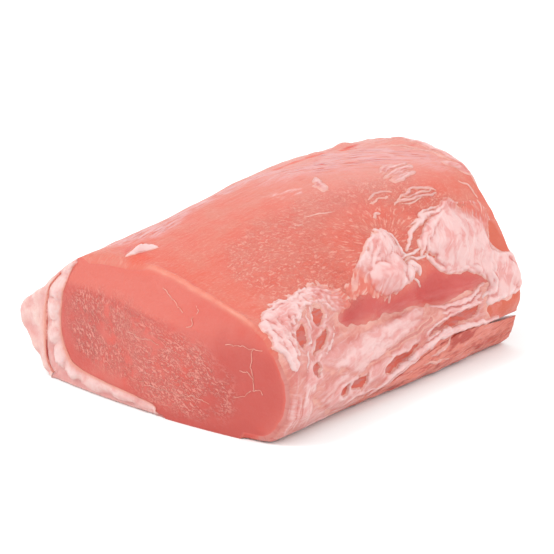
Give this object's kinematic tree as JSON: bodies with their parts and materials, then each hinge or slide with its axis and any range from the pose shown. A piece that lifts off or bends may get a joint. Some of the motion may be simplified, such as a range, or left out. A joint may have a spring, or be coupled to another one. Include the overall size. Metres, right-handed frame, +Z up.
{
  "type": "boneless pork loin roast",
  "caption": "Raw boneless loin roast: a block of lean muscle cut across at both ends, with back fat down the side and underneath, and torn fat and membrane on the rib side.",
  "frame": {"origin": "middle of the bounding box, on the surface the loin lies on", "axes": "+X along the muscle from the near cut to the far cut, +Y across to the side with the back fat, +Z up"},
  "size_m": [0.141, 0.1336, 0.0705],
  "materials": {
    "lean": "moist, softly glossy",
    "firm_fat": "waxy",
    "seam_lean": "moist",
    "soft_fat": "waxy",
    "strip_lean": "moist, softly glossy"
  },
  "bodies": {
    "root": {"loin_eye": "lean", "inner_fat": "firm_fat", "seam_muscle": "seam_lean", "outer_fat": "soft_fat", "rib_strip": "strip_lean"}
  },
  "joints": []
}
